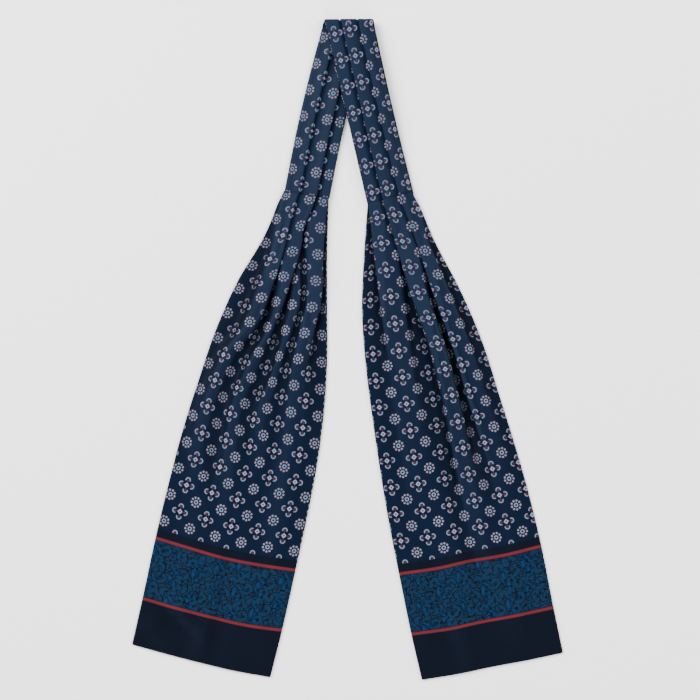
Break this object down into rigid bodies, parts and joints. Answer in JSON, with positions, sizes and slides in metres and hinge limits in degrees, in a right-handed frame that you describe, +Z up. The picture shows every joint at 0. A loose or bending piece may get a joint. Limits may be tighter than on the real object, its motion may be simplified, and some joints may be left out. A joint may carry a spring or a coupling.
{
  "type": "silk cravat",
  "caption": "Silk cravat with a narrow pleated neckband and wide printed blades, folded at the middle of the neckband and laid flat with its blades spread apart.",
  "frame": {"origin": "on the surface it lies on, under the middle of its outline", "axes": "+Z up from the surface; +Y from the ends of the blades to the crest of the neck fold; +X to the side of the front leg, the one that lies on top"},
  "size_m": [0.4094, 0.6262, 0.0139],
  "materials": {
    "printed_silk": "satin"
  },
  "bodies": {
    "root": {"front_blade_face": "printed_silk", "front_blade_back": "printed_silk", "rear_blade_face": "printed_silk", "rear_blade_back": "printed_silk", "front_neckband": "printed_silk", "rear_neckband": "printed_silk", "neck_fold": "printed_silk"}
  },
  "joints": []
}
